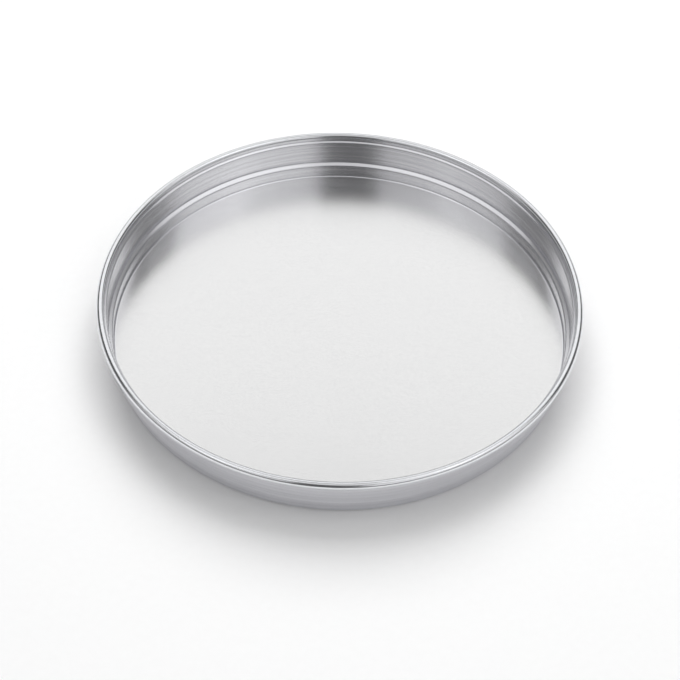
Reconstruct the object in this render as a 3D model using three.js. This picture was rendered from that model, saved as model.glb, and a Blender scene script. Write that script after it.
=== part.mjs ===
// Shallow round cake pan: one spun aluminium sheet with a stacking step in its wall, and a narrow lip
// under a rim that is rolled over a steel wire. Millimetres, +Z up, z = 0 under the base.
import * as THREE from 'three';

// Driving dimensions
const RIM_DIAMETER = 360; // over the outside of the rolled rim
const PAN_HEIGHT = 40; // underside of the base to the top of the rim
const SHEET = 1.2; // aluminium sheet, the same gauge all through
const CORNER_RADIUS = 1.2; // inside radius where the floor turns up into the wall
const STEP_FOOT = 10.9; // height where the lower wall starts to lean out into the stacking step
const STEP_INSET = 3.1; // lower wall, inward of the upper one
const STEP_LOW_BEND = 1.4; // inside radius of the bend at the foot of the step
const STEP_HIGH_BEND = 0.5; // inside radius of the bend at its top
const LIP_DROP = 6.9; // from the top of the rim down to where the upper wall starts to lean out
const LIP_INSET = 1.7; // upper wall, inward of the rim
const LIP_LOW_BEND = 1.3; // inside radius of the bend at the foot of the lip
const LIP_HIGH_BEND = 0.3; // inside radius of the bend at its top
const LEDGE_LEAN = 64; // degrees off upright, of the step and of the lip between their bends
const WIRE_DIAMETER = 2.8; // steel wire that stiffens the rim
const WIRE_CLEARANCE = 0.3; // all round the wire, inside the curl
const CURL_SLIT = 0.4; // between the cut edge of the curl and the wall

// Smoothness of the round stretches
const SEGMENTS_AROUND = 80;
const CORNER_STEPS = 4;
const LOW_BEND_STEPS = 4;
const HIGH_BEND_STEPS = 2;
const CURL_STEPS = 12; // from the wall over the top to the bottom
const CURL_TAIL_STEPS = 2; // from there to the cut edge
const WIRE_STEPS = 12;

// Sizes that follow from the driving dimensions
const curlInside = WIRE_DIAMETER / 2 + WIRE_CLEARANCE;
const curlOutside = curlInside + SHEET;
const rimRadius = RIM_DIAMETER / 2 - curlOutside;
const rimHeight = PAN_HEIGHT - curlOutside;
const upperWall = rimRadius - curlOutside - LIP_INSET;
const lowerWall = upperWall - STEP_INSET;
const lean = THREE.MathUtils.degToRad(LEDGE_LEAN);

// The curl ends where its outside comes within the slit of the wall's outside face.
const curlEnd = -Math.acos((CURL_SLIT - curlInside) / curlOutside);

// Points on an arc about (r, z). Angles are in radians, counted from straight outward.
function arc(r, z, radius, from, to, steps) {
  const points = [];
  for (let i = 0; i <= steps; i++) {
    const angle = from + ((to - from) * i) / steps;
    points.push(new THREE.Vector2(r + radius * Math.cos(angle), z + radius * Math.sin(angle)));
  }
  return points;
}

// The corner between floor and wall, from the floor up. The inside face has no added sheet.
function corner(sheet) {
  const r = lowerWall - CORNER_RADIUS;
  const z = SHEET + CORNER_RADIUS;
  return arc(r, z, CORNER_RADIUS + sheet, -Math.PI / 2, 0, CORNER_STEPS);
}

// A ledge that leads outward from an upright wall and upright again, from its foot up. The straight
// slope between its two bends makes up what they leave of the inset.
function ledge(wall, foot, inset, lowBend, highBend, sheet) {
  const bends = lowBend + highBend;
  const slope = (inset - bends * (1 - Math.cos(lean))) / Math.sin(lean);
  const top = foot + bends * Math.sin(lean) + slope * Math.cos(lean);
  const low = arc(wall + lowBend, foot, lowBend - sheet, Math.PI, Math.PI - lean, LOW_BEND_STEPS);
  const high = arc(wall + inset - highBend, top, highBend + sheet, -lean, 0, HIGH_BEND_STEPS);
  return [...low, ...high];
}

function step(sheet) {
  return ledge(lowerWall, STEP_FOOT, STEP_INSET, STEP_LOW_BEND, STEP_HIGH_BEND, sheet);
}

function lip(sheet) {
  return ledge(upperWall, PAN_HEIGHT - LIP_DROP, LIP_INSET, LIP_LOW_BEND, LIP_HIGH_BEND, sheet);
}

// One face of the curl that is rolled outward and down, from above the lip to its cut edge.
function curl(radius) {
  const over = arc(rimRadius, rimHeight, radius, Math.PI, -Math.PI / 2, CURL_STEPS);
  const under = arc(rimRadius, rimHeight, radius, -Math.PI / 2, curlEnd, CURL_TAIL_STEPS);
  return [...over, ...under.slice(1)];
}

// A ring or dish turned about +Z from a profile of (radius, height) points.
function turned(profile) {
  return new THREE.LatheGeometry(profile, SEGMENTS_AROUND).rotateX(Math.PI / 2);
}

function panBody() {
  const insideFace = [...corner(0), ...step(0), ...lip(0), ...curl(curlOutside)];
  const outsideFace = [...corner(SHEET), ...step(SHEET), ...lip(SHEET), ...curl(curlInside)];
  const floorCentre = new THREE.Vector2(0, SHEET);
  const baseCentre = new THREE.Vector2(0, 0);
  return turned([baseCentre, ...outsideFace, ...insideFace.reverse(), floorCentre]);
}

// The wire is a closed ring that lies in the middle of the curl.
function rimWire() {
  return turned(arc(rimRadius, rimHeight, WIRE_DIAMETER / 2, 0, 2 * Math.PI, WIRE_STEPS));
}

function piece(name, geometry, color, roughness) {
  const material = new THREE.MeshStandardMaterial({ color, roughness, metalness: 1 });
  const mesh = new THREE.Mesh(geometry, material);
  mesh.name = name;
  return mesh;
}

const pan = new THREE.Group();
pan.add(piece('pan_body', panBody(), 0xd3d4d6, 0.38));
pan.add(piece('rim_wire', rimWire(), 0xa6aaad, 0.5));

export default pan;
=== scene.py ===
import math

import bmesh
import bpy
from mathutils import Matrix, Vector


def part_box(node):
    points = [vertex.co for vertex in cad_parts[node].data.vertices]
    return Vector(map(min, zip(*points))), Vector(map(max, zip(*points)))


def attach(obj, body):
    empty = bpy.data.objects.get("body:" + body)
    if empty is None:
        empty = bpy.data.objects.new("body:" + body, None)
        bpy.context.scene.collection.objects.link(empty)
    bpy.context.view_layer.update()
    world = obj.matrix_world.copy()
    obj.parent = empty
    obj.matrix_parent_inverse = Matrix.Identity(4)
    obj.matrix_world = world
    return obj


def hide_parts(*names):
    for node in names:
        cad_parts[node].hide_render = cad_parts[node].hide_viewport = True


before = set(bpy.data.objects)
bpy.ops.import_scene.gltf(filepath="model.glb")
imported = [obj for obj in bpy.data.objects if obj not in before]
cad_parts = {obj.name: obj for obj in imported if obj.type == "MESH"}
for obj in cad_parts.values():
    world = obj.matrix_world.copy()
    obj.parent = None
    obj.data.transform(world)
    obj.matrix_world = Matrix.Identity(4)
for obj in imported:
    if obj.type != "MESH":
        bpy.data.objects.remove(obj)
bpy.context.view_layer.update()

# Pan body: one disc of aluminium sheet, spun over a former into a flat floor, a rounded corner and a wall
# with a stacking step. The wall steps out once more into a narrow lip, and the rim above it is rolled outward
# and down over a wire, with the cut end of the sheet tucked in under it.
MM = 0.001
SHEET = 1.2 * MM  # the same gauge all through
CORNER_RADIUS = 1.2 * MM  # inside, between floor and wall
STEP_FOOT = 10.9 * MM  # height where the wall starts to lean out into the stacking step
STEP_INSET = 3.1 * MM  # lower wall, inward of the upper one
STEP_BENDS = (1.4 * MM, 0.5 * MM)  # inside radius at the foot of the step and at its top
LIP_DROP = 6.9 * MM  # from the top of the rim down to where the wall leans out again
LIP_INSET = 1.7 * MM  # upper wall, inward of the rim
LIP_BENDS = (1.3 * MM, 0.3 * MM)
LEDGE_LEAN = 64.0  # degrees off upright, of the step and of the lip between their bends
CURL_SLIT = 0.4 * MM  # between the cut end of the curl and the lip
HOLD = 0.3 * MM  # a ring this close to each bend keeps the upright wall's shading straight
FLAT_RINGS = (0, 0.25, 0.5, 0.75, 0.92, 0.98, 0.995)  # shares of a flat disc's radius, closer near the corner

# Smoothness of the round stretches
SEGMENTS_AROUND = 288
CORNER_STEPS = 12
LOW_BEND_STEPS = 10
HIGH_BEND_STEPS = 8
CURL_STEPS = 60

body_low, body_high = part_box("pan_body")
wire_low, wire_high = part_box("rim_wire")
wire_radius = (wire_high.z - wire_low.z) / 2
rim_radius = wire_high.x - wire_radius
rim_height = wire_high.z - wire_radius
curl_outside = body_high.z - rim_height
curl_inside = curl_outside - SHEET
upper_wall = rim_radius - curl_outside - LIP_INSET
lower_wall = upper_wall - STEP_INSET
floor_radius = lower_wall - CORNER_RADIUS
floor_height = body_low.z + SHEET


def arc(r, z, radius, start, end, steps):
    """Profile points on an arc about (r, z), with angles in degrees from straight outward."""
    turns = [math.radians(start + (end - start) * i / steps) for i in range(steps + 1)]
    return [(r + radius * math.cos(t), z + radius * math.sin(t)) for t in turns]


def ledge(r, foot, inset, bends, sheet):
    """One face of a ledge that leads outward from an upright wall of inside radius r, and upright again."""
    low_bend, high_bend = bends
    slant = math.radians(LEDGE_LEAN)
    straight = (inset - sum(bends) * (1 - math.cos(slant))) / math.sin(slant)
    top = foot + sum(bends) * math.sin(slant) + straight * math.cos(slant)
    outward = arc(r + low_bend, foot, low_bend - sheet, 180, 180 - LEDGE_LEAN, LOW_BEND_STEPS)
    upright = arc(r + inset - high_bend, top, high_bend + sheet, -LEDGE_LEAN, 0, HIGH_BEND_STEPS)
    return [(r + sheet, foot - HOLD)] + outward + upright + [(r + inset + sheet, top + HOLD)]


def wall_face(sheet):
    """One face of the corner, the step and the lip, from the floor up; sheet is 0 on the inside."""
    corner_top = floor_height + CORNER_RADIUS
    corner = arc(floor_radius, corner_top, CORNER_RADIUS + sheet, -90, 0, CORNER_STEPS)
    step = ledge(lower_wall, STEP_FOOT, STEP_INSET, STEP_BENDS, sheet)
    lip = ledge(upper_wall, body_high.z - LIP_DROP, LIP_INSET, LIP_BENDS, sheet)
    return corner + [(lower_wall + sheet, corner_top + HOLD)] + step + lip


def curl_face(radius):
    """One face of the rolled rim, from above the lip over the wire to the cut end."""
    tail = math.degrees(math.acos((CURL_SLIT - curl_inside) / curl_outside))
    return arc(rim_radius, rim_height, radius, 180, -tail, CURL_STEPS)


def flat_rings(z):
    """Profile points across a flat disc, from its middle outward."""
    return [(floor_radius * share, z) for share in FLAT_RINGS]


FLOOR, BASE, WALL, RIM = range(4)  # the finishes, in the order of the material slots
stretches = [
    (flat_rings(body_low.z), BASE),
    (wall_face(SHEET), WALL),
    (curl_face(curl_inside), RIM),
    (curl_face(curl_outside)[::-1], RIM),
    (wall_face(0)[::-1], WALL),
    (flat_rings(floor_height)[::-1], FLOOR),
]
profile = [(r, z, finish) for points, finish in stretches for r, z in points]

mesh = bmesh.new()
rings = []
for r, z, finish in profile:
    count = SEGMENTS_AROUND if r > 0 else 1
    angles = [2 * math.pi * i / SEGMENTS_AROUND for i in range(count)]
    rings.append([mesh.verts.new((r * math.cos(a), r * math.sin(a), z)) for a in angles])
for row, (near, far) in enumerate(zip(rings, rings[1:])):
    for i in range(SEGMENTS_AROUND):
        j = (i + 1) % SEGMENTS_AROUND
        corners = [near[i % len(near)], near[j % len(near)], far[j % len(far)], far[i % len(far)]]
        face = mesh.faces.new(list(dict.fromkeys(corners)))
        face.smooth = True
        face.material_index = min(profile[row][2], profile[row + 1][2])
cut_end = sum(len(points) for points, finish in stretches[:3]) - 1
for ring in (rings[cut_end], rings[cut_end + 1]):
    for i in range(SEGMENTS_AROUND):
        mesh.edges.get((ring[i], ring[i - 1])).smooth = False
bmesh.ops.recalc_face_normals(mesh, faces=mesh.faces)
pan_data = bpy.data.meshes.new("pan_sheet")
mesh.to_mesh(pan_data)
mesh.free()
pan_sheet = bpy.data.objects.new("pan_sheet", pan_data)
bpy.context.scene.collection.objects.link(pan_sheet)


def srgb(code):
    """An sRGB hex colour as linear RGBA."""
    parts = [int(code[i:i + 2], 16) / 255 for i in (1, 3, 5)]
    return [p / 12.92 if p <= 0.04045 else ((p + 0.055) / 1.055) ** 2.4 for p in parts] + [1]


def add_node(tree, kind, settings=(), **inputs):
    """Adds a node. inputs are its sockets by name, or as in0, in1, and hold a value or a link."""
    node = tree.nodes.new(kind)
    for name, value in dict(settings).items():
        setattr(node, name, value)
    for name, value in inputs.items():
        socket = node.inputs[int(name[2:]) if name[2:].isdigit() else name.replace("_", " ")]
        if isinstance(value, bpy.types.NodeSocket):
            tree.links.new(value, socket)
        else:
            socket.default_value = value
    return node


def new_material(name):
    """An empty node material and its node tree."""
    material = bpy.data.materials.new(name)
    material.use_nodes = True
    material.node_tree.nodes.clear()
    return material, material.node_tree


# Mill-finish aluminium, the rolled sheet of the floor as it was bought: a pale satin with a very fine grain
# along X, the rolling direction, and faint clouds where it has been wiped. The grain smears what the floor
# mirrors more across it than along it. Real grain is under 0.1 mm wide and is drawn about ten times coarser.
GRAIN_WIDTH = 0.8 * MM
GRAIN_DEPTH = 0.01 * MM
GRAIN_LENGTH = 2 * MM
CLOUD_WIDTH = 70 * MM
floor_metal, tree = new_material("mill_finish_aluminium")
place = add_node(tree, "ShaderNodeTexCoord").outputs["Object"]
along = add_node(
    tree, "ShaderNodeMapping", Vector=place, Scale=(1 / GRAIN_LENGTH, 1 / GRAIN_WIDTH, 1 / GRAIN_WIDTH),
)
grain = add_node(tree, "ShaderNodeTexNoise", Vector=along.outputs[0], Scale=1.0, Detail=3.0, Roughness=0.6)
clouds = add_node(tree, "ShaderNodeTexNoise", Vector=place, Scale=1 / CLOUD_WIDTH, Detail=3.0)
satin = add_node(
    tree, "ShaderNodeMapRange", Value=clouds.outputs[0], From_Min=0.3, From_Max=0.7, To_Min=0.23, To_Max=0.26,
)
wiped = add_node(
    tree, "ShaderNodeMixRGB", Fac=clouds.outputs[0], Color1=srgb("#EAEAEA"), Color2=srgb("#F1F1F1"),
)
lines = add_node(
    tree, "ShaderNodeMapRange", Value=grain.outputs[0], From_Min=0.4, From_Max=0.7, To_Min=0.0, To_Max=0.3,
)
rolled = add_node(
    tree, "ShaderNodeMixRGB", Fac=lines.outputs[0], Color1=wiped.outputs[0], Color2=srgb("#DADADB"),
)
ripple = add_node(tree, "ShaderNodeBump", Height=grain.outputs[0], Strength=1.0, Distance=GRAIN_DEPTH)
across = add_node(tree, "ShaderNodeTangent", {"direction_type": "RADIAL", "axis": "X"})
metal = add_node(
    tree, "ShaderNodeBsdfPrincipled", Base_Color=rolled.outputs[0], Metallic=1.0, Roughness=satin.outputs[0],
    Anisotropic=0.6, Normal=ripple.outputs[0], Tangent=across.outputs[0],
)
add_node(tree, "ShaderNodeOutputMaterial", Surface=metal.outputs[0])

# Scuffed aluminium, the same sheet on the underside: the satin is broken by scratches in all directions and
# by dull patches from oven shelves. A real scratch is about 0.1 mm wide, drawn here several times wider.
SCRATCH_WIDTH = 0.8 * MM
SCRATCH_DEPTH = 0.02 * MM
SCRATCH_LENGTH = 60 * MM
SHELF_PATCH = 45 * MM
base_metal, tree = new_material("scuffed_aluminium")
place = add_node(tree, "ShaderNodeTexCoord").outputs["Object"]
scratches = 0.0
for degrees in (20, 75, 140):
    crossing = add_node(
        tree, "ShaderNodeMapping", {"vector_type": "TEXTURE"}, Vector=place,
        Rotation=(0, 0, math.radians(degrees)), Scale=(SCRATCH_WIDTH, SCRATCH_LENGTH, SCRATCH_WIDTH),
    )
    lines = add_node(tree, "ShaderNodeTexNoise", Vector=crossing.outputs[0], Scale=1.0, Detail=1.0)
    sparse = add_node(
        tree, "ShaderNodeMapRange", Value=lines.outputs[0],
        From_Min=0.62, From_Max=0.74, To_Min=0.0, To_Max=1.0,
    )
    scratches = add_node(
        tree, "ShaderNodeMath", {"operation": "MAXIMUM"}, in0=scratches, in1=sparse.outputs[0],
    ).outputs[0]
patches = add_node(
    tree, "ShaderNodeTexNoise", Vector=place, Scale=1 / SHELF_PATCH, Detail=4.0, Roughness=0.55,
)
satin = add_node(
    tree, "ShaderNodeMapRange", Value=patches.outputs[0],
    From_Min=0.35, From_Max=0.65, To_Min=0.40, To_Max=0.52,
)
dulled = add_node(
    tree, "ShaderNodeMixRGB", Fac=patches.outputs[0], Color1=srgb("#E4E5E8"), Color2=srgb("#D2D3D6"),
)
bared = add_node(tree, "ShaderNodeMixRGB", Fac=scratches, Color1=dulled.outputs[0], Color2=srgb("#EDEEF0"))
grooves = add_node(
    tree, "ShaderNodeBump", {"invert": True}, Height=scratches, Strength=1.0, Distance=SCRATCH_DEPTH,
)
metal = add_node(
    tree, "ShaderNodeBsdfPrincipled", Base_Color=bared.outputs[0], Metallic=1.0, Roughness=satin.outputs[0],
    Normal=grooves.outputs[0],
)
add_node(tree, "ShaderNodeOutputMaterial", Surface=metal.outputs[0])

# Spun aluminium of the wall: the spinning roller leaves fine rings round it. They smear what the wall mirrors
# up and down and leave it sharp sideways, so lamps and the dark between them show as upright bands. The real
# rings are about 0.3 mm apart and are drawn coarser, so that the plainest of them show.
RING_SPACING = 2.2 * MM
RING_RUN = 250 * MM  # how far round a ring stays the same
RING_HEIGHT = 0.035 * MM
wall_metal, tree = new_material("spun_aluminium")
place = add_node(tree, "ShaderNodeTexCoord").outputs["Object"]
around = add_node(
    tree, "ShaderNodeMapping", Vector=place, Scale=(1 / RING_RUN, 1 / RING_RUN, 1 / RING_SPACING),
)
ring_marks = add_node(
    tree, "ShaderNodeTexNoise", Vector=around.outputs[0], Scale=1.0, Detail=4.0, Roughness=0.6,
)
bright = add_node(
    tree, "ShaderNodeMapRange", Value=ring_marks.outputs[0],
    From_Min=0.3, From_Max=0.7, To_Min=0.19, To_Max=0.24,
)
bands = add_node(
    tree, "ShaderNodeMapRange", Value=ring_marks.outputs[0],
    From_Min=0.35, From_Max=0.65, To_Min=0.0, To_Max=1.0,
)
worked = add_node(
    tree, "ShaderNodeMixRGB", Fac=bands.outputs[0], Color1=srgb("#DBDBDF"), Color2=srgb("#ECECF0"),
)
ridges = add_node(tree, "ShaderNodeBump", Height=ring_marks.outputs[0], Strength=1.0, Distance=RING_HEIGHT)
round_axis = add_node(tree, "ShaderNodeTangent", {"direction_type": "RADIAL", "axis": "Z"})
metal = add_node(
    tree, "ShaderNodeBsdfPrincipled", Base_Color=worked.outputs[0], Metallic=1.0, Roughness=bright.outputs[0],
    Anisotropic=0.65, Anisotropic_Rotation=0.25, Normal=ridges.outputs[0], Tangent=round_axis.outputs[0],
)
add_node(tree, "ShaderNodeOutputMaterial", Surface=metal.outputs[0])

# Burnished aluminium of the rolled rim: the roller that closes it presses it smooth, so it mirrors lamps as
# crisp lines. Small dull spots come from knocks and handling.
KNOCK_WIDTH = 4 * MM
KNOCK_DEPTH = 0.01 * MM
rim_metal, tree = new_material("burnished_aluminium")
place = add_node(tree, "ShaderNodeTexCoord").outputs["Object"]
knocks = add_node(tree, "ShaderNodeTexNoise", Vector=place, Scale=1 / KNOCK_WIDTH, Detail=3.0, Roughness=0.6)
burnish = add_node(
    tree, "ShaderNodeMapRange", Value=knocks.outputs[0],
    From_Min=0.35, From_Max=0.7, To_Min=0.15, To_Max=0.20,
)
handled = add_node(
    tree, "ShaderNodeMixRGB", Fac=knocks.outputs[0], Color1=srgb("#ECEDF0"), Color2=srgb("#E2E3E6"),
)
dents = add_node(tree, "ShaderNodeBump", Height=knocks.outputs[0], Strength=1.0, Distance=KNOCK_DEPTH)
metal = add_node(
    tree, "ShaderNodeBsdfPrincipled", Base_Color=handled.outputs[0], Metallic=1.0,
    Roughness=burnish.outputs[0], Normal=dents.outputs[0],
)
add_node(tree, "ShaderNodeOutputMaterial", Surface=metal.outputs[0])

for material in (floor_metal, base_metal, wall_metal, rim_metal):
    pan_data.materials.append(material)
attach(pan_sheet, "root")
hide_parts("pan_body")

# Rim wire: drawn steel wire bent into a ring, dipped in zinc and shut inside the rolled rim. Its CAD solid
# has the right shape and stays; only the finish is made here.
# Galvanised steel: dull grey zinc with the flaky crystals of the bath, a few millimetres wide.
SPANGLE_WIDTH = 3 * MM
SPANGLE_HEIGHT = 0.02 * MM
wire_metal, tree = new_material("galvanised_steel")
place = add_node(tree, "ShaderNodeTexCoord").outputs["Object"]
spangle = add_node(tree, "ShaderNodeTexVoronoi", Vector=place, Scale=1 / SPANGLE_WIDTH)
zinc = add_node(
    tree, "ShaderNodeMixRGB", Fac=spangle.outputs["Distance"], Color1=srgb("#9CA1A4"), Color2=srgb("#B6BABC"),
)
dull = add_node(
    tree, "ShaderNodeMapRange", Value=spangle.outputs["Distance"], From_Min=0.0, From_Max=0.8,
    To_Min=0.42, To_Max=0.55,
)
flakes = add_node(
    tree, "ShaderNodeBump", Height=spangle.outputs["Distance"], Strength=1.0, Distance=SPANGLE_HEIGHT,
)
metal = add_node(
    tree, "ShaderNodeBsdfPrincipled", Base_Color=zinc.outputs[0], Metallic=1.0, Roughness=dull.outputs[0],
    Normal=flakes.outputs[0],
)
add_node(tree, "ShaderNodeOutputMaterial", Surface=metal.outputs[0])
wire_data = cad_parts["rim_wire"].data
wire_data.materials.clear()
wire_data.materials.append(wire_metal)

# Studio floor: a wide sweep of white background paper, laid flat under the pan.
# Uncoated paper: matt white with a faint mottle of its fibres, drawn coarser than real.
FLOOR_SIZE = 16.0
FIBRE_MOTTLE = 6 * MM
floor_data = bpy.data.meshes.new("studio_floor")
half = FLOOR_SIZE / 2
floor_corners = [(-half, -half, 0), (half, -half, 0), (half, half, 0), (-half, half, 0)]
floor_data.from_pydata(floor_corners, [], [(0, 1, 2, 3)])
studio_floor = bpy.data.objects.new("studio_floor", floor_data)
bpy.context.scene.collection.objects.link(studio_floor)
paper, tree = new_material("white_paper")
place = add_node(tree, "ShaderNodeTexCoord").outputs["Object"]
mottle = add_node(tree, "ShaderNodeTexNoise", Vector=place, Scale=1 / FIBRE_MOTTLE, Detail=3.0)
fibres = add_node(
    tree, "ShaderNodeMixRGB", Fac=mottle.outputs[0], Color1=srgb("#F9F9F9"), Color2=srgb("#FDFDFD"),
)
surface = add_node(tree, "ShaderNodeBsdfDiffuse", Color=fibres.outputs[0])
add_node(tree, "ShaderNodeOutputMaterial", Surface=surface.outputs[0])
floor_data.materials.append(paper)

# Studio light: a large soft lamp behind the pan, an upright one in front of it at each side, and three
# overhead, in a dim room with a pale skirting behind and beside the pan. The gaps between the lamps are what
# the wall shows as dark bands. One more lamp is there for the paper, and the metal doesn't mirror it.
ROOM_SKIRTING = 0.85
ROOM_FRONT = 0.2  # the skirting in front of the pan
ROOM_WALL = 0.13
ROOM_CEILING = 0.2
FRONT_EDGES = (-0.95, -0.8)  # depth of a direction, where the front of the room turns into its sides
SKIRTING_EDGES = (math.sin(math.radians(10)), math.sin(math.radians(18)))  # height of a direction
CEILING_EDGES = (math.sin(math.radians(54)), 1.05)
world = bpy.data.worlds.new("studio")
world.use_nodes = True
tree = world.node_tree
tree.nodes.clear()
direction = add_node(tree, "ShaderNodeTexCoord").outputs["Generated"]
depth, height = add_node(tree, "ShaderNodeSeparateXYZ", Vector=direction).outputs[1:]
skirting = add_node(
    tree, "ShaderNodeMapRange", {"interpolation_type": "SMOOTHSTEP"}, Value=depth,
    From_Min=FRONT_EDGES[0], From_Max=FRONT_EDGES[1], To_Min=ROOM_FRONT, To_Max=ROOM_SKIRTING,
)
lower = add_node(
    tree, "ShaderNodeMapRange", {"interpolation_type": "SMOOTHSTEP"}, Value=height,
    From_Min=SKIRTING_EDGES[0], From_Max=SKIRTING_EDGES[1], To_Min=skirting.outputs[0], To_Max=ROOM_WALL,
)
upper = add_node(
    tree, "ShaderNodeMapRange", {"interpolation_type": "SMOOTHSTEP"}, Value=height,
    From_Min=CEILING_EDGES[0], From_Max=CEILING_EDGES[1], To_Min=0.0, To_Max=ROOM_CEILING - ROOM_WALL,
)
glow = add_node(tree, "ShaderNodeMath", {"operation": "ADD"}, in0=lower.outputs[0], in1=upper.outputs[0])
room = add_node(tree, "ShaderNodeBackground", Strength=glow.outputs[0])
add_node(tree, "ShaderNodeOutputWorld", Surface=room.outputs[0])
bpy.context.scene.world = world


def softbox(name, azimuth, elevation, distance, width, height, radiance, upright=False):
    """A soft lamp that faces the pan. Its azimuth is in degrees from the back, clockwise from above."""
    turn = math.radians(azimuth)
    rise = math.radians(elevation)
    away = Vector((math.sin(turn) * math.cos(rise), math.cos(turn) * math.cos(rise), math.sin(rise)))
    lamp_data = bpy.data.lights.new(name, "AREA")
    lamp_data.shape = "RECTANGLE"
    lamp_data.size = width
    lamp_data.size_y = height
    lamp_data.energy = radiance * math.pi * width * height
    lamp = bpy.data.objects.new(name, lamp_data)
    lamp.location = away * distance
    facing = Vector((away.x, away.y, 0)) if upright else away
    lamp.rotation_euler = facing.to_track_quat("Z", "Y").to_euler()
    lamp.visible_camera = False
    bpy.context.scene.collection.objects.link(lamp)
    return lamp


# Azimuth and elevation in degrees, distance, width and height in metres, radiance
softbox("back_softbox", 0, 42, 2.2, 2.4, 1.6, 0.97)
softbox("right_softbox", 125, 50.5, 2.2, 2.6, 2.1, 0.74, upright=True)
softbox("left_softbox", -124, 51.8, 2.26, 2.2, 1.94, 0.55, upright=True)
softbox("top_right_softbox", 90, 68, 2.2, 1.7, 1.2, 0.90)
softbox("top_left_softbox", -90, 68, 2.2, 1.7, 1.2, 0.84)
softbox("top_softbox", 180, 86, 2.1, 0.5, 1.7, 0.54)
floor_lamp = softbox("floor_softbox", 0, 50, 6.0, 4.9, 4.9, 3.0)
floor_lamp.visible_glossy = False

# Camera: above the front of the pan and looking down at it, with the whole pan in view.
VIEW_DISTANCE = 1.44
VIEW_ELEVATION = math.radians(46.59)
LENS_PIXELS = 1942.7  # focal length
IMAGE_WIDTH = 680
SENSOR_WIDTH = 36
RIM_CENTRE_OFFSET = (-1.03, -43.13)  # pixels from the image's middle, right and down
ROLL = math.radians(1.69)
camera_data = bpy.data.cameras.new("camera")
camera_data.sensor_width = SENSOR_WIDTH
camera_data.lens = LENS_PIXELS * SENSOR_WIDTH / IMAGE_WIDTH
camera = bpy.data.objects.new("camera", camera_data)
back = Vector((0, -math.cos(VIEW_ELEVATION), math.sin(VIEW_ELEVATION)))
side = Vector((1, 0, 0))
aim = -back - side * RIM_CENTRE_OFFSET[0] / LENS_PIXELS
aim += side.cross(-back) * RIM_CENTRE_OFFSET[1] / LENS_PIXELS
turn = aim.to_track_quat("-Z", "Y").to_matrix().to_4x4() @ Matrix.Rotation(ROLL, 4, "Z")
camera.matrix_world = Matrix.Translation(back * VIEW_DISTANCE + Vector((0, 0, rim_height))) @ turn
bpy.context.scene.collection.objects.link(camera)
bpy.context.scene.camera = camera
bpy.context.scene.view_settings.view_transform = "Standard"
